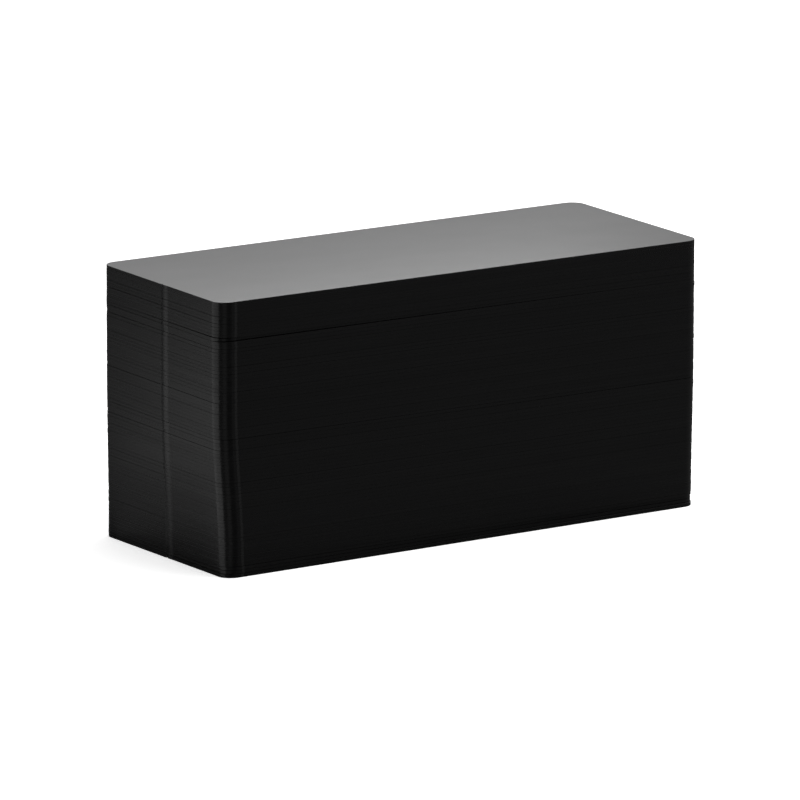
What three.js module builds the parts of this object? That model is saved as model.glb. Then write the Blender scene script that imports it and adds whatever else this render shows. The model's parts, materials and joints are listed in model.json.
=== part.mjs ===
// A squared-up stack of thin blank plastic cards with rounded corners.
// Millimetres, +Z up. The stack stands on z = 0, its long side runs along X, and the
// vertical line through the origin passes through the middle of the stack's outline.
import * as THREE from 'three';

// One card.
const CARD_LENGTH = 120;
const CARD_WIDTH = 50;
const CARD_THICKNESS = 0.76;
const CORNER_RADIUS = 3.2;
const CORNER_STEPS = 8;

// A shallow V close to the middle of one short edge, left where the cards were cut from their
// sheet.
const NICK_WIDTH = 0.85;
const NICK_DEPTH = 0.45;
const NICK_Y = -1.1;

// The stack. Cards are counted from the top. The upper ones are separate pieces, and the
// lower ones are stored two to a piece.
const CARD_COUNT = 76;
const SINGLE_CARDS = 44;
const AIR_GAP = 0.015;

// Inside a stored pair, this is how far the joining core lies back from the cards' edges.
const CORE_INSET = 0.7;

// The stack leans a little: its lowest card lies this far from its uppermost one.
const LEAN_X = -1.04;
const LEAN_Y = -0.58;

// The lower half of the stack is also turned a little against the upper half.
const LOWER_TWIST_DEG = 1.5;
const TWIST_STARTS_AT = 0.4;
const TWIST_ENDS_AT = 0.94;

// Every card lies slightly out of line with its neighbours, by up to half of these.
const SCATTER_X = 0.05;
const SCATTER_Y = 0.05;
const SCATTER_TWIST_DEG = 0.03;

// Cards that stand back or out enough to read as a line, by number from the top.
const STRAY_CARDS = new Map([
  [4, { x: 0.05, y: 0.02, twistDeg: 0 }],
  [7, { x: 0.06, y: 0.04, twistDeg: 0 }],
  [11, { x: 0.1, y: 0.16, twistDeg: -0.14 }],
  [13, { x: 0.08, y: -0.03, twistDeg: 0 }],
  [19, { x: 0.02, y: 0.06, twistDeg: 0.02 }],
  [28, { x: 0.07, y: 0.03, twistDeg: 0 }],
  [39, { x: 0.07, y: 0.06, twistDeg: 0.05 }],
  [41, { x: 0.07, y: 0.02, twistDeg: 0 }],
  [51, { x: 0.04, y: 0.08, twistDeg: -0.06 }],
  [66, { x: 0.02, y: 0.08, twistDeg: 0 }],
  [73, { x: 0.05, y: 0.1, twistDeg: 0.1 }],
  [74, { x: 0.08, y: 0.34, twistDeg: 0.28 }],
  [75, { x: 0.08, y: 0.3, twistDeg: 0.26 }],
]);

const CARD_PITCH = CARD_THICKNESS + AIR_GAP;
const STACK_HEIGHT = CARD_COUNT * CARD_PITCH - AIR_GAP;

// A repeatable value from -0.5 to 0.5 for each card number and channel.
function scatter(number, channel) {
  const wave = Math.sin(number * 12.9898 + channel * 78.233) * 43758.5453;
  return wave - Math.floor(wave) - 0.5;
}

// Where a card lies: its offset in the plane and its turn about Z.
function cardPlacement(number) {
  const depth = (number - 0.5) / CARD_COUNT;
  const turned = THREE.MathUtils.smoothstep(depth, TWIST_STARTS_AT, TWIST_ENDS_AT);
  const stray = STRAY_CARDS.get(number) ?? { x: 0, y: 0, twistDeg: 0 };
  const looseDeg = stray.twistDeg + scatter(number, 3) * SCATTER_TWIST_DEG;
  return {
    x: depth * LEAN_X + stray.x + scatter(number, 1) * SCATTER_X,
    y: depth * LEAN_Y + stray.y + scatter(number, 2) * SCATTER_Y,
    turn: THREE.MathUtils.degToRad(turned * LOWER_TWIST_DEG + looseDeg),
  };
}

// The outline of a card, counterclockwise. Without its nick it keeps the same number of
// points, so that outlines can be joined point by point.
function cardOutline(inset, nickDepth) {
  const halfLength = CARD_LENGTH / 2 - inset;
  const halfWidth = CARD_WIDTH / 2 - inset;
  const radius = CORNER_RADIUS - inset;
  const corners = [
    [-1, -1, Math.PI],
    [1, -1, 1.5 * Math.PI],
    [1, 1, 0],
    [-1, 1, 0.5 * Math.PI],
  ];
  const points = [];
  for (const [sideX, sideY, startAngle] of corners) {
    const centreX = sideX * (halfLength - radius);
    const centreY = sideY * (halfWidth - radius);
    for (let step = 0; step <= CORNER_STEPS; step += 1) {
      const angle = startAngle + (step / CORNER_STEPS) * 0.5 * Math.PI;
      points.push(new THREE.Vector2(
        centreX + radius * Math.cos(angle),
        centreY + radius * Math.sin(angle),
      ));
    }
  }
  points.push(new THREE.Vector2(-halfLength, NICK_Y + NICK_WIDTH / 2));
  points.push(new THREE.Vector2(-halfLength + nickDepth, NICK_Y));
  points.push(new THREE.Vector2(-halfLength, NICK_Y - NICK_WIDTH / 2));
  return points;
}

// An outline moved to where a card lies.
function placeOutline(outline, placement) {
  const offset = new THREE.Vector2(placement.x, placement.y);
  const centre = new THREE.Vector2(0, 0);
  return outline.map((point) => point.clone().rotateAround(centre, placement.turn).add(offset));
}

const CARD_OUTLINE = cardOutline(0, NICK_DEPTH);
const CORE_OUTLINE = cardOutline(CORE_INSET, 0);
const CAP_FACES = THREE.ShapeUtils.triangulateShape(CARD_OUTLINE, []);

// A closed body through a column of outlines that all have the same number of points.
function columnGeometry(rings) {
  const count = rings[0].outline.length;
  const vertices = rings.flatMap(({ outline, z }) => outline.flatMap((point) => [point.x, point.y, z]));
  const faces = [];
  for (let ring = 0; ring + 1 < rings.length; ring += 1) {
    for (let i = 0; i < count; i += 1) {
      const next = (i + 1) % count;
      const low = ring * count;
      const high = low + count;
      faces.push(low + i, low + next, high + next);
      faces.push(low + i, high + next, high + i);
    }
  }
  const top = (rings.length - 1) * count;
  for (const [a, b, c] of CAP_FACES) {
    faces.push(a, c, b);
    faces.push(top + a, top + b, top + c);
  }
  const geometry = new THREE.BufferGeometry();
  geometry.setAttribute('position', new THREE.Float32BufferAttribute(vertices, 3));
  geometry.setIndex(faces);
  geometry.computeVertexNormals();
  return geometry;
}

// The height of a card's underside above the ground.
function undersideHeight(number) {
  return STACK_HEIGHT - number * CARD_PITCH + AIR_GAP;
}

// The two outlines of one card, at its underside and at its face.
function cardRings(number, middle) {
  const placement = cardPlacement(number);
  placement.x -= middle.x;
  placement.y -= middle.y;
  const outline = placeOutline(CARD_OUTLINE, placement);
  const bottom = undersideHeight(number);
  return [
    { outline, z: bottom },
    { outline, z: bottom + CARD_THICKNESS },
  ];
}

// Two cards as one body, with a thin core across the gap between them.
function pairRings(upper, middle) {
  const upperRings = cardRings(upper, middle);
  const lowerRings = cardRings(upper + 1, middle);
  const placement = cardPlacement(upper);
  placement.x -= middle.x;
  placement.y -= middle.y;
  const core = placeOutline(CORE_OUTLINE, placement);
  return [
    ...lowerRings,
    { outline: core, z: lowerRings[1].z },
    { outline: core, z: upperRings[0].z },
    ...upperRings,
  ];
}

// The middle of the whole stack's outline, seen from above.
function stackMiddle() {
  const outer = new THREE.Box2();
  for (let number = 1; number <= CARD_COUNT; number += 1) {
    for (const point of placeOutline(CARD_OUTLINE, cardPlacement(number))) {
      outer.expandByPoint(point);
    }
  }
  return outer.getCenter(new THREE.Vector2());
}

// Satin black plastic. Single cards and stored pairs differ only in roughness.
function cardMaterial(roughness) {
  return new THREE.MeshStandardMaterial({ color: 0x101113, roughness, metalness: 0 });
}

function twoDigits(number) {
  return String(number).padStart(2, '0');
}

const stack = new THREE.Group();
const middle = stackMiddle();

for (let number = 1; number <= SINGLE_CARDS; number += 1) {
  const card = new THREE.Mesh(columnGeometry(cardRings(number, middle)), cardMaterial(0.42));
  card.name = `card_${twoDigits(number)}`;
  stack.add(card);
}

for (let number = SINGLE_CARDS + 1; number < CARD_COUNT; number += 2) {
  const pair = new THREE.Mesh(columnGeometry(pairRings(number, middle)), cardMaterial(0.45));
  pair.name = `card_pair_${twoDigits(number)}_${twoDigits(number + 1)}`;
  stack.add(pair);
}

export default stack;
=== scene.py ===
"""A squared-up stack of blank black plastic cards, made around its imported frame.

Lengths are in metres. Every card is rebuilt from where its CAD solid lies: a thin plate with
punched edges, slightly wavy sides and a nick in one short edge.
"""

import json
import math
import random

import bmesh
import bpy
from mathutils import Matrix, Vector

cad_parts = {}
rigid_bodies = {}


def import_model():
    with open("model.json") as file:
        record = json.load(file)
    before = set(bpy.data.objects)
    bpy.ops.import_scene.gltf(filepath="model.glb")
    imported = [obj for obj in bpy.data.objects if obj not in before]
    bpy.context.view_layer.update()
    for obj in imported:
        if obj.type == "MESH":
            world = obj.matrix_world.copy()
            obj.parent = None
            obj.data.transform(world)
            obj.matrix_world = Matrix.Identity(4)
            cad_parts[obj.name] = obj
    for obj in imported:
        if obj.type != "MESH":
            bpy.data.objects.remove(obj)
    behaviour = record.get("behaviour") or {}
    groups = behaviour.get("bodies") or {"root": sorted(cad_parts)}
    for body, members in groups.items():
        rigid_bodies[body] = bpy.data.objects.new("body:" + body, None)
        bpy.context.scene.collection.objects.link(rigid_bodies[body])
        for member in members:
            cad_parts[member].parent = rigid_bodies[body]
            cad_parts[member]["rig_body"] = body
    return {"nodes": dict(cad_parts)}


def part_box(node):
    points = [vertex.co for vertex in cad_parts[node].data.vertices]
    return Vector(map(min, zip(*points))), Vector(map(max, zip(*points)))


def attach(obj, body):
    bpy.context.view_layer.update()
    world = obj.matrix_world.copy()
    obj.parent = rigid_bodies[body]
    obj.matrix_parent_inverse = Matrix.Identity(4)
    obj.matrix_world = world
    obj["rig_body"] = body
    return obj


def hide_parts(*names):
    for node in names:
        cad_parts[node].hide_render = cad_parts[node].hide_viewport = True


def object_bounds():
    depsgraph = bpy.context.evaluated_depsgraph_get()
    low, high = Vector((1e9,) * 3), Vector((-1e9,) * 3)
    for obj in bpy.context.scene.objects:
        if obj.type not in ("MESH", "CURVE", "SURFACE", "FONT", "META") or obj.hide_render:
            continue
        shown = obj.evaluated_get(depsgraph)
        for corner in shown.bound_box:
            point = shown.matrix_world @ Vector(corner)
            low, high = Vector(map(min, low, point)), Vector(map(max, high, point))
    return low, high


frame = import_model()
cad_low, cad_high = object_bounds()

MM = 0.001

# One card, as its CAD solids have it.
CARD_LENGTH = 120 * MM
CARD_WIDTH = 50 * MM
CORNER_RADIUS = 3.2 * MM
NICK_WIDTH = 0.85 * MM
NICK_DEPTH = 0.45 * MM
NICK_Y = -1.1 * MM

# The nick with its bottom rounded out.
NICK_ROUNDED_DEPTH = 0.36 * MM

# How finely a card's outline is drawn. The thickness is the CAD's own.
SIDE_STEP = 5 * MM
CORNER_STEPS = 14
LIP_STEPS = 8

# The cut edge: rounding at the top card's face and at each underside, and the rough band that
# the punch leaves along the lower third.
FACE_ROUND = 0.05 * MM
UNDER_ROUND = 0.01 * MM
BREAK_HEIGHT = 0.26 * MM
BREAK_INSET = 0.004 * MM
BREAK_ABOVE_ROUND = 1.5
ROUND_MIDDLE = 0.29
FACE_TILTS_DEG = (22.5, 45, 67.5, 90)
RIM_WIDTH = 1.0 * MM
RIM_GAP_SHARE = 0.8
MOST_GAP_SHARE = 0.5
HOLLOW_WIDTH = 7.0 * MM

# How far the middle of an underside fills the air gap to the card below, so that hardly any
# light shows through the stack.
SAG = 0.012 * MM
WAVE_INSET = 0.02 * MM

# Past the nick the edge stands back a little, and it curves out to meet the nick.
LIP_INSET = 0.05 * MM
LIP_LENGTH = 2.2 * MM

# How much highlight is painted onto the edge: on the lip, and in a narrow stripe where the near
# corner ends.
LIP_PAINTED_HIGHLIGHT = 1.0
STRIPE_PAINTED_HIGHLIGHT = 0.16
STRIPE_START = 0.45 * MM
STRIPE_WIDTH = 0.6 * MM

# Cards whose underside stands off the card below: number from the top, gap at the near
# corner, at the far end of the long near side and at the far end of the nicked side, in mm.
# A gap that falls below zero on the way is closed from there on.
OPEN_GAPS = {
    1: (0.0, 0.0, 0.01),
    4: (0.06, -3.0, 0.07),
    6: (0.08, -3.0, 0.14),
    7: (0.0, 0.03, 0.0),
    9: (0.0, 0.03, 0.0),
    10: (0.22, -3.0, 0.07),
    11: (0.2, 0.02, -3.0),
    13: (0.03, 0.0, 0.08),
    14: (0.03, 0.01, 0.04),
    18: (0.04, 0.0, 0.06),
    19: (0.0, 0.04, 0.02),
    20: (0.03, 0.02, 0.04),
    25: (0.03, 0.02, 0.05),
    28: (0.025, 0.0, 0.04),
    31: (0.02, 0.02, 0.04),
    35: (0.03, 0.0, 0.04),
    38: (0.08, 0.0, 0.08),
    39: (0.0, 0.08, 0.0),
    41: (0.035, 0.0, 0.035),
    44: (0.02, 0.03, 0.04),
    50: (0.05, 0.02, 0.03),
    53: (0.02, 0.03, 0.04),
    57: (0.02, 0.02, 0.04),
    65: (0.03, 0.0, 0.04),
    73: (0.08, 0.03, 0.04),
    74: (0.05, 0.08, 0.04),
    75: (0.07, 0.06, 0.06),
}

# The camera: where it stands round the stack, and what it looks at.
CAMERA_AZIMUTH = math.radians(-31.2)
CAMERA_ELEVATION = math.radians(12.59)
CAMERA_ROLL = math.radians(-0.51)
CAMERA_DISTANCE = 17.98 * CARD_LENGTH
CAMERA_LENS_MM = 452.4
SENSOR_MM = 36
AIM_FROM_TOP_CARD = Vector((-2.85, -3.37, -31.68)) * MM


# ---------------------------------------------------------------- shapes


def card_outline():
    """The outline of a card as (point, outward direction, painted highlight), counterclockwise.

    The painted highlight is from 0 to 1, and None at the bottom of the nick.
    """
    half = Vector((CARD_LENGTH / 2, CARD_WIDTH / 2))
    inner = half - Vector((CORNER_RADIUS, CORNER_RADIUS))
    outline = []

    def straight(start, end, outward):
        steps = max(1, round((end - start).length / SIDE_STEP))
        for i in range(1, steps):
            outline.append((start.lerp(end, i / steps), outward, 0.0))

    def corner(side_x, side_y, start_angle):
        centre = Vector((side_x * inner.x, side_y * inner.y))
        for i in range(CORNER_STEPS + 1):
            angle = start_angle + i / CORNER_STEPS * math.pi / 2
            outward = Vector((math.cos(angle), math.sin(angle)))
            outline.append((centre + CORNER_RADIUS * outward, outward, 0.0))

    left, right, down, up = Vector((-1, 0)), Vector((1, 0)), Vector((0, -1)), Vector((0, 1))
    nick_start = Vector((-half.x, NICK_Y + NICK_WIDTH / 2))
    nick_end = Vector((-half.x, NICK_Y - NICK_WIDTH / 2))
    lip_end = Vector((-half.x, NICK_Y - NICK_WIDTH / 2 - LIP_LENGTH))
    corner(-1, -1, math.pi)
    # The stripe past the near corner's arc gets a painted highlight, a paler edge tone standing
    # for a thin rim of reflected light.
    for share, painted_highlight in ((0, 0.0), (0.3, STRIPE_PAINTED_HIGHLIGHT), (1, STRIPE_PAINTED_HIGHLIGHT), (1.3, 0.0)):
        stripe = Vector((-inner.x + STRIPE_START + STRIPE_WIDTH * share, -half.y))
        outline.append((stripe, down, painted_highlight))
    straight(stripe, Vector((inner.x, -half.y)), down)
    corner(1, -1, 1.5 * math.pi)
    straight(Vector((half.x, -inner.y)), Vector((half.x, inner.y)), right)
    corner(1, 1, 0)
    straight(Vector((inner.x, half.y)), Vector((-inner.x, half.y)), up)
    corner(-1, 1, math.pi / 2)
    straight(Vector((-half.x, inner.y)), nick_start, left)
    outline.append((nick_start, left, 0.0))
    outline.append((Vector((-half.x, NICK_Y)), left, None))
    outline.append((nick_end, left, 0.0))
    # Past the nick the lip gets a painted highlight, a paler edge tone standing for the light its
    # curved face reflects.
    for i in range(1, LIP_STEPS):
        past = i / LIP_STEPS
        outline.append((nick_end.lerp(lip_end, past), left, LIP_PAINTED_HIGHLIGHT * math.sin(past * math.pi)))
    outline.append((lip_end, left, 0.0))
    straight(lip_end, Vector((-half.x, -inner.y)), left)
    return outline


OUTLINE = card_outline()


def gap_under(number, point):
    """How far a card's underside stands off the card below at a point of its outline."""
    if number not in OPEN_GAPS:
        return 0.0
    near, along, across = (gap * MM for gap in OPEN_GAPS[number])
    share_along = point.x / CARD_LENGTH + 0.5
    share_across = point.y / CARD_WIDTH + 0.5
    return max(0.0, near + (along - near) * share_along + (across - near) * share_across)


def lip(point):
    """The inset and the slope of the nicked edge past the nick, fading out along the card."""
    past = (NICK_Y - NICK_WIDTH / 2 - point.y) / LIP_LENGTH
    along = 1 - (point.x + CARD_LENGTH / 2) / (CARD_LENGTH / 2)
    if past < 0 or along <= 0:
        return 0.0, 0.0
    turn = min(past, 1.0) * math.pi
    inset = LIP_INSET * (1 - math.cos(turn)) / 2 * along
    return inset, LIP_INSET * math.pi / (2 * LIP_LENGTH) * math.sin(turn)


def edge_waves(rng):
    """A smooth closed wave round the outline, from -1 to 1, different for each card."""
    parts = [(turns, rng.uniform(0, 2 * math.pi), rng.uniform(0.3, 1)) for turns in (2, 3, 5, 8)]
    total = sum(size for _, _, size in parts)

    def wave(share):
        angle = share * 2 * math.pi
        return sum(size * math.sin(turns * angle + start) for turns, start, size in parts) / total

    return wave


def card_rings(number, thickness, sag):
    """The card's rings from the middle of its underside over its edge to the middle of its face.

    A ring is a list of (point, normal) in the card's own frame, with z from its underside.
    """
    rng = random.Random(number)
    side_wave, under_wave = edge_waves(rng), edge_waves(rng)
    face_round = FACE_ROUND if number == 1 else 0.0
    rings = {}
    for i, (point, outward, painted_highlight) in enumerate(OUTLINE):
        share = i / len(OUTLINE)
        under_round = UNDER_ROUND * (1 + 0.5 * under_wave(share))
        wave = WAVE_INSET * (0.5 + 0.5 * side_wave(share))
        nick = NICK_ROUNDED_DEPTH if painted_highlight is None else 0.0
        lip_inset, lip_slope = lip(point)
        low = min(gap_under(number, point), thickness * MOST_GAP_SHARE)
        break_at = max(BREAK_HEIGHT, low + under_round * BREAK_ABOVE_ROUND)
        round_middle = under_round * ROUND_MIDDLE
        level_normal = Vector((outward.x, outward.y - lip_slope, 0)).normalized()

        def put(level, inset, z, tilt_deg, keep_nick=True):
            flat = point - outward * (inset + (nick if keep_nick else 0.0))
            tilt = math.radians(tilt_deg)
            normal = level_normal * math.cos(tilt) + Vector((0, 0, math.sin(tilt)))
            rings.setdefault(level, []).append((Vector((flat.x + lip_inset, flat.y, z)), normal))

        put("hollow", HOLLOW_WIDTH, -sag, -90, False)
        put("rim", RIM_WIDTH, low * RIM_GAP_SHARE, -90, False)
        put("under", wave + BREAK_INSET + under_round, low, -90)
        put("under_mid", wave + BREAK_INSET + round_middle, low + round_middle, -45)
        put("wall_low", wave + BREAK_INSET, low + under_round, 0)
        put("break", wave + BREAK_INSET, break_at, 0)
        put("wall_break", wave, break_at + BREAK_INSET, 0)
        put("wall_top", wave, thickness - face_round, 0)
        if face_round:
            for tilt_deg in FACE_TILTS_DEG:
                inset = face_round * (1 - math.cos(math.radians(tilt_deg)))
                drop = face_round * (1 - math.sin(math.radians(tilt_deg)))
                put(f"face_{tilt_deg}", wave + inset, thickness - drop, tilt_deg)
        put("face_rim", RIM_WIDTH, thickness, 90, False)
    return list(rings.values())


def plate_mesh(name, rings):
    """A closed plate through rings.

    The materials are those of its two faces, its edge and its nick, in this order.
    """
    mesh = bpy.data.meshes.new(name)
    bm = bmesh.new()
    highlight_paint = bm.verts.layers.float.new("painted_highlight")
    rows = [[bm.verts.new(point) for point, _ in ring] for ring in rings]
    normals = []
    count = len(rows[0])
    face_level = len(rows) - 2
    for row in rows:
        for vertex, (_, _, painted_highlight) in zip(row, OUTLINE):
            vertex[highlight_paint] = painted_highlight or 0.0
    for level, (row, above) in enumerate(zip(rows, rows[1:])):
        for i in range(count):
            j = (i + 1) % count
            quad = bm.faces.new((row[i], row[j], above[j], above[i]))
            quad.smooth = True
            in_nick = OUTLINE[i][2] is None or OUTLINE[j][2] is None
            if level in (0, face_level):
                quad.material_index = 0
            else:
                quad.material_index = 2 if in_nick else 1
            lower, upper = rings[level], rings[level + 1]
            corners = (lower[i], lower[j], upper[j], upper[i])
            if level == face_level:
                normals += [Vector((0, 0, 1))] * 4
            elif in_nick:
                quad.normal_update()
                normals += [quad.normal.copy()] * 4
            else:
                normals += [normal for _, normal in corners]
    under = bm.faces.new(tuple(reversed(rows[0])))
    over = bm.faces.new(tuple(rows[-1]))
    under.smooth = over.smooth = True
    normals += [Vector((0, 0, -1))] * count + [Vector((0, 0, 1))] * count
    bm.to_mesh(mesh)
    bm.free()
    mesh.normals_split_custom_set(normals)
    return mesh


# ---------------------------------------------------------------- where the cards lie


# Only the points of the four corners lie this far beyond half a card's length.
CORNERS_BEYOND = 0.7 * MM


def outline_points(node, upper):
    """The outline of a CAD solid's uppermost or lowest layer, and that layer's height."""
    points = [vertex.co for vertex in frame["nodes"][node].data.vertices]
    heights = [point.z for point in points]
    level = max(heights) if upper else min(heights)
    return [point.xy for point in points if abs(point.z - level) < 1e-6], level


def card_place(points):
    """The centre and the turn of a card, from its outline.

    The nick's bottom is the outline's point nearest to the centre.
    """
    rough = Vector((
        (min(p.x for p in points) + max(p.x for p in points)) / 2,
        (min(p.y for p in points) + max(p.y for p in points)) / 2,
    ))
    corners = {(round(p.x, 7), round(p.y, 7)) for p in points
               if (p - rough).length > CARD_LENGTH / 2 + CORNERS_BEYOND}
    centre = Vector((sum(x for x, _ in corners), sum(y for _, y in corners))) / len(corners)
    nick = min(points, key=lambda p: (p - centre).length) - centre
    straight_nick = Vector((NICK_DEPTH - CARD_LENGTH / 2, NICK_Y))
    return centre, -straight_nick.angle_signed(nick)


def card_numbers(node):
    """The numbers of the cards that a CAD node holds, counted from the top of the stack."""
    return [int(word) for word in node.split("_") if word.isdigit()]


# ---------------------------------------------------------------- materials


# The edge's tone where the painted highlight is 1: a paler grey that stands for light the edge
# reflects.
PAINTED_HIGHLIGHT_TONE = (0.1, 0.1, 0.101)


class Nodes:
    """Short names for building a material's nodes."""

    def __init__(self, name):
        self.material = bpy.data.materials.new(name)
        self.material.use_nodes = True
        self.tree = self.material.node_tree
        self.shader = self.tree.nodes["Principled BSDF"]
        self.place = self.tree.nodes.new("ShaderNodeTexCoord").outputs["Object"]

    def add(self, kind, **values):
        node = self.tree.nodes.new(kind)
        for key, value in values.items():
            setattr(node, key, value)
        return node

    def link(self, start, end):
        self.tree.links.new(start, end)

    def stretched(self, scale):
        mapping = self.add("ShaderNodeMapping")
        mapping.inputs["Scale"].default_value = scale
        self.link(self.place, mapping.inputs["Vector"])
        return mapping.outputs["Vector"]

    def noise(self, scale, detail=2.0, roughness=0.5):
        noise = self.add("ShaderNodeTexNoise")
        noise.inputs["Scale"].default_value = 1.0
        noise.inputs["Detail"].default_value = detail
        noise.inputs["Roughness"].default_value = roughness
        self.link(self.stretched(scale), noise.inputs["Vector"])
        return noise.outputs["Fac"]

    def ranged(self, value, low, high, start=0.3, end=0.7):
        spread = self.add("ShaderNodeMapRange")
        spread.inputs["From Min"].default_value = start
        spread.inputs["From Max"].default_value = end
        spread.inputs["To Min"].default_value = low
        spread.inputs["To Max"].default_value = high
        self.link(value, spread.inputs["Value"])
        return spread.outputs["Result"]

    def mixed(self, share, dark, light):
        mix = self.add("ShaderNodeMix", data_type="RGBA")
        mix.inputs["A"].default_value = (*dark, 1)
        mix.inputs["B"].default_value = (*light, 1)
        self.link(share, mix.inputs["Factor"])
        return mix.outputs["Result"]

    def bump(self, height, strength, distance, before=None):
        bump = self.add("ShaderNodeBump")
        bump.inputs["Strength"].default_value = strength
        bump.inputs["Distance"].default_value = distance
        self.link(height, bump.inputs["Height"])
        if before is not None:
            self.link(before, bump.inputs["Normal"])
        return bump.outputs["Normal"]


def face_material():
    """Satin card plastic: almost black, with a faint calendered grain and uneven gloss."""
    made = Nodes("card_face")
    tone = made.ranged(made.noise((60, 60, 60), 4), 0, 1)
    made.link(made.mixed(tone, (0.0085, 0.0085, 0.009), (0.012, 0.012, 0.0125)),
              made.shader.inputs["Base Color"])
    gloss = made.ranged(made.noise((25, 40, 25), 3), 0.33, 0.37)
    made.link(gloss, made.shader.inputs["Roughness"])
    grain = made.bump(made.noise((2500, 2500, 2500), 2), 0.06, 0.01 * MM)
    made.link(grain, made.shader.inputs["Normal"])
    made.shader.inputs["IOR"].default_value = 1.5
    return made.material


def edge_material():
    """Punched card edge: fine upright marks, painted highlights on the lip and at the near
    corner, and a tone that changes by card.
    """
    made = Nodes("card_edge")
    by_card = made.noise((12, 12, 900), 1)
    tone = made.ranged(by_card, 0, 1)
    clean = made.mixed(tone, (0.003, 0.003, 0.0032), (0.005, 0.005, 0.0053))
    # Painted highlight: where the vertex layer says so, the edge tone is mixed towards a paler
    # grey that stands for reflected light.
    highlight_paint = made.add("ShaderNodeAttribute", attribute_name="painted_highlight").outputs["Fac"]
    with_painted_highlight = made.mixed(highlight_paint, (0, 0, 0), PAINTED_HIGHLIGHT_TONE)
    made.link(clean, with_painted_highlight.node.inputs["A"])
    made.link(with_painted_highlight, made.shader.inputs["Base Color"])
    made.link(made.ranged(by_card, 0.2, 0.3), made.shader.inputs["Roughness"])
    marks = made.noise((5000, 5000, 500), 2)
    made.link(made.bump(marks, 0.15, 0.01 * MM), made.shader.inputs["Normal"])
    made.shader.inputs["IOR"].default_value = 1.48
    return made.material


def nick_material():
    """The torn plastic in the nick: dull, with a coarse grain, and a grey paler than the edge
    that is painted reflection.
    """
    made = Nodes("card_nick")
    grain = made.noise((4000, 4000, 2500), 3)
    tone = made.ranged(grain, 0, 1)
    # Painted reflection: this grey is much paler than the black edge, so that the nick shows as
    # bright as the light it reflects would make it.
    made.link(made.mixed(tone, (0.025, 0.025, 0.025), (0.04, 0.04, 0.041)),
              made.shader.inputs["Base Color"])
    made.link(made.bump(grain, 0.3, 0.02 * MM), made.shader.inputs["Normal"])
    made.shader.inputs["Roughness"].default_value = 0.4
    made.shader.inputs["IOR"].default_value = 1.5
    return made.material


FACE = face_material()
EDGE = edge_material()
NICK = nick_material()


# ---------------------------------------------------------------- cards


def make_card(number, node, points, underside, thickness):
    """One card in the place that its CAD solid gives it."""
    centre, turn = card_place(points)
    sag = min(SAG, underside - cad_low.z)
    mesh = plate_mesh(f"blank_{number:02d}", card_rings(number, thickness, sag))
    place = Matrix.Translation((centre.x, centre.y, underside))
    mesh.transform(place @ Matrix.Rotation(turn, 4, "Z"))
    mesh.materials.append(FACE)
    mesh.materials.append(EDGE)
    mesh.materials.append(NICK)
    card = bpy.data.objects.new(f"blank_{number:02d}", mesh)
    bpy.context.scene.collection.objects.link(card)
    body = frame["nodes"][node]["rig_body"]
    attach(card, body)
    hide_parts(node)
    return card


def make_cards():
    """Every card of the stack, from the single CAD cards and from the stored pairs."""
    single_low, single_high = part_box("card_01")
    thickness = single_high.z - single_low.z
    for node in frame["nodes"]:
        numbers = card_numbers(node)
        top_points, top = outline_points(node, upper=True)
        make_card(numbers[0], node, top_points, top - thickness, thickness)
        if len(numbers) == 2:
            low_points, underside = outline_points(node, upper=False)
            make_card(numbers[1], node, low_points, underside, thickness)


make_cards()


# ---------------------------------------------------------------- floor, light and camera

FLOOR_WHITE = (0.92, 0.92, 0.92)
FLOOR_DIM = (0.12, 0.12, 0.12)
FLOOR_GLOW = (0.58, 0.58, 0.58)
FLOOR_HALF_SIZE = 12
FLOOR_DROP = 0.02 * MM

# How bright the room is to the camera, and to everything else.
ROOM_SEEN = 1.0
ROOM_LIGHT = 0.03

# The bounce cards on the floor start from just inside the stack's near corner. They lie below
# the stack and above the floor, the ones for the short side lowest.
CORNER_SETBACK = 1.2 * MM
SIDE_REACH = 41 * MM
LIFT_SHORT_SIDE = -0.015 * MM
LIFT_CORNER = -0.01 * MM

middle = (cad_low + cad_high) / 2


def make_floor():
    """A plain pale floor, white to the camera. What else it lights or reflects in stays dim."""
    mesh = bpy.data.meshes.new("floor")
    signs = ((-1, -1), (1, -1), (1, 1), (-1, 1))
    corners = [(x * FLOOR_HALF_SIZE, y * FLOOR_HALF_SIZE, 0) for x, y in signs]
    mesh.from_pydata(corners, [], [(0, 1, 2, 3)])
    floor = bpy.data.objects.new("floor", mesh)
    bpy.context.scene.collection.objects.link(floor)
    floor.location.z = cad_low.z - FLOOR_DROP
    made = Nodes("floor_paper")
    seen = made.add("ShaderNodeLightPath").outputs["Is Camera Ray"]
    made.link(made.mixed(seen, FLOOR_DIM, FLOOR_WHITE), made.shader.inputs["Base Color"])
    made.link(made.mixed(seen, (0, 0, 0), FLOOR_GLOW), made.shader.inputs["Emission Color"])
    made.shader.inputs["Emission Strength"].default_value = 1.0
    made.shader.inputs["Roughness"].default_value = 0.9
    made.shader.inputs["Specular IOR Level"].default_value = 0.0
    mesh.materials.append(made.material)


def direction(azimuth_deg, elevation_deg):
    """The direction from the stack towards a light. Azimuth 0 is towards -Y and 90 towards +X."""
    a, e = math.radians(azimuth_deg), math.radians(elevation_deg)
    return Vector((math.sin(a) * math.cos(e), -math.cos(a) * math.cos(e), math.sin(e)))


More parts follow.
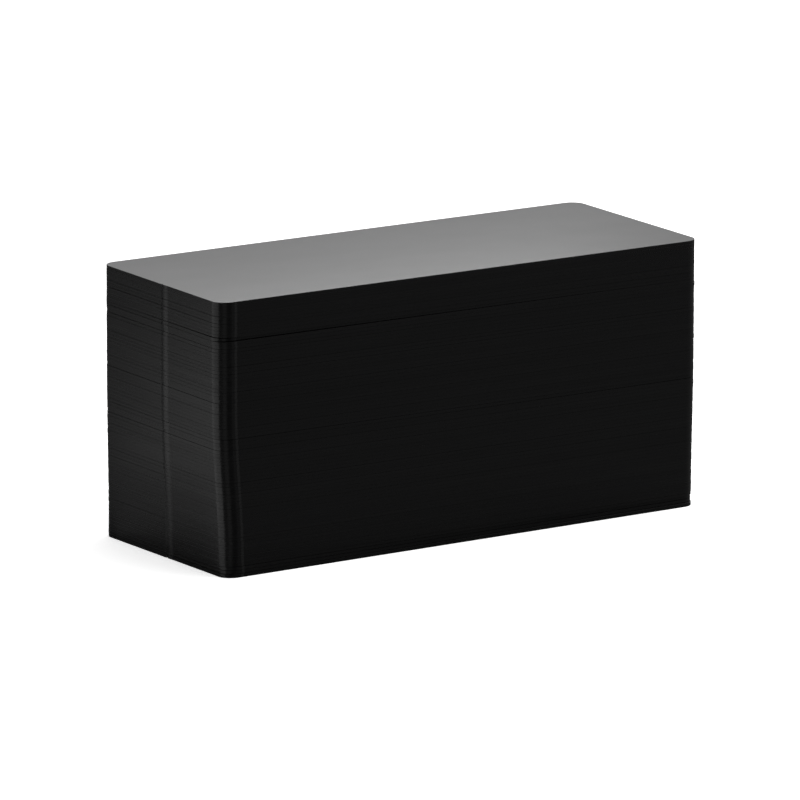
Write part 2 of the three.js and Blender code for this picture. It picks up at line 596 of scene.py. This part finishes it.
def make_bounce_card(name, start, second_start, azimuths_deg, distances, tone, lift):
    """A card that lies on the floor out of the camera's sight and lights the stack's near sides.

    It covers what is seen from two points on the ground between two azimuths and two distances.
    """
    first, last = azimuths_deg
    rays = ((start, first), (second_start, (first + last) / 2), (second_start, last))
    inner, outer = ([origin + direction(azimuth, 0).xy * distance for origin, azimuth in rays]
                    for distance in distances)
    points = inner + outer[::-1]
    mesh = bpy.data.meshes.new(name)
    mesh.from_pydata([(p.x, p.y, lift) for p in points], [], [tuple(range(len(points)))])
    card = bpy.data.objects.new(name, mesh)
    bpy.context.scene.collection.objects.link(card)
    made = Nodes(name)
    made.shader.inputs["Base Color"].default_value = (tone, tone, tone, 1)
    made.shader.inputs["Roughness"].default_value = 0.9
    made.shader.inputs["Specular IOR Level"].default_value = 0.0
    mesh.materials.append(made.material)
    card.visible_camera = card.visible_shadow = card.visible_diffuse = False


def make_panel(name, azimuth_deg, elevation_deg, distance, width, height, radiance):
    """A soft panel that faces the stack. Its brightness is given as radiance."""
    light = bpy.data.lights.new(name, "AREA")
    light.shape = "RECTANGLE"
    light.size, light.size_y = width, height
    light.energy = radiance * math.pi * width * height
    panel = bpy.data.objects.new(name, light)
    bpy.context.scene.collection.objects.link(panel)
    towards = direction(azimuth_deg, elevation_deg)
    panel.location = middle + towards * distance
    panel.rotation_mode = "QUATERNION"
    panel.rotation_quaternion = towards.to_track_quat("Z", "Y")
    panel.visible_camera = False
    return panel


def make_lights():
    """A broad light above, one behind, and a narrow one that shows only in reflections."""
    make_panel("overhead", 75, 68, 1.3, 2.0, 2.0, 2.6)
    make_panel("back_wall", 140, 18.4, 1.5, 1.8, 0.9, 0.78)
    strip = make_panel("strip", 189, 55.6, 0.147, 0.275, 0.034, 7.2)
    strip.visible_diffuse = False


def make_world():
    """A room that looks white and lights the stack hardly at all."""
    world = bpy.data.worlds.new("studio")
    world.use_nodes = True
    tree = world.node_tree
    background = tree.nodes["Background"]
    background.inputs["Color"].default_value = (1, 1, 1, 1)
    strength = tree.nodes.new("ShaderNodeMapRange")
    strength.inputs["To Min"].default_value = ROOM_LIGHT
    strength.inputs["To Max"].default_value = ROOM_SEEN
    seen = tree.nodes.new("ShaderNodeLightPath").outputs["Is Camera Ray"]
    tree.links.new(seen, strength.inputs["Value"])
    tree.links.new(strength.outputs["Result"], background.inputs["Strength"])
    bpy.context.scene.world = world


def make_camera():
    """A long lens, aimed at a point set off from the middle of the top card's face."""
    top_low, top_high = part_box("card_01")
    top_centre = Vector(((top_low.x + top_high.x) / 2, (top_low.y + top_high.y) / 2, top_high.z))
    aim = top_centre + AIM_FROM_TOP_CARD
    back = direction(math.degrees(CAMERA_AZIMUTH), math.degrees(CAMERA_ELEVATION))
    right = Vector((math.cos(CAMERA_AZIMUTH), math.sin(CAMERA_AZIMUTH), 0))
    up = back.cross(right)
    tilted_right = right * math.cos(CAMERA_ROLL) + up * math.sin(CAMERA_ROLL)
    tilted_up = up * math.cos(CAMERA_ROLL) - right * math.sin(CAMERA_ROLL)
    data = bpy.data.cameras.new("camera")
    data.sensor_width = SENSOR_MM
    data.lens = CAMERA_LENS_MM
    data.clip_end = 50
    camera = bpy.data.objects.new("camera", data)
    bpy.context.scene.collection.objects.link(camera)
    axes = Matrix((tilted_right, tilted_up, back)).transposed().to_4x4()
    camera.matrix_world = Matrix.Translation(aim + back * CAMERA_DISTANCE) @ axes
    bpy.context.scene.camera = camera


make_floor()
near_corner = Vector((cad_low.x, cad_low.y)) + Vector((CORNER_SETBACK, CORNER_SETBACK))
side_middle = near_corner + Vector((0, SIDE_REACH))
flat_side = (side_middle, near_corner, (-148.8, -93))
# The near grey card is darker than the far one: painted shade that stands for the floor's shadow
# beside the stack, as the short side reflects it.
make_bounce_card("near_grey_painted_shade", *flat_side, (0, 0.075), 0.22, LIFT_SHORT_SIDE)
make_bounce_card("far_grey", *flat_side, (0.075, 0.25), 0.36, LIFT_SHORT_SIDE)
for name, azimuths_deg, reach, tone in (
    ("white_bounce", (-144, -79), 0.4, 0.78),
    ("front_grey", (-46, -19), 0.7, 0.22),
    ("front_black", (-13, 26), 0.7, 0.06),
):
    make_bounce_card(name, near_corner, near_corner, azimuths_deg, (0.0001, reach), tone,
                     LIFT_CORNER)
make_lights()
make_world()
make_camera()
bpy.context.scene.view_settings.view_transform = "Standard"
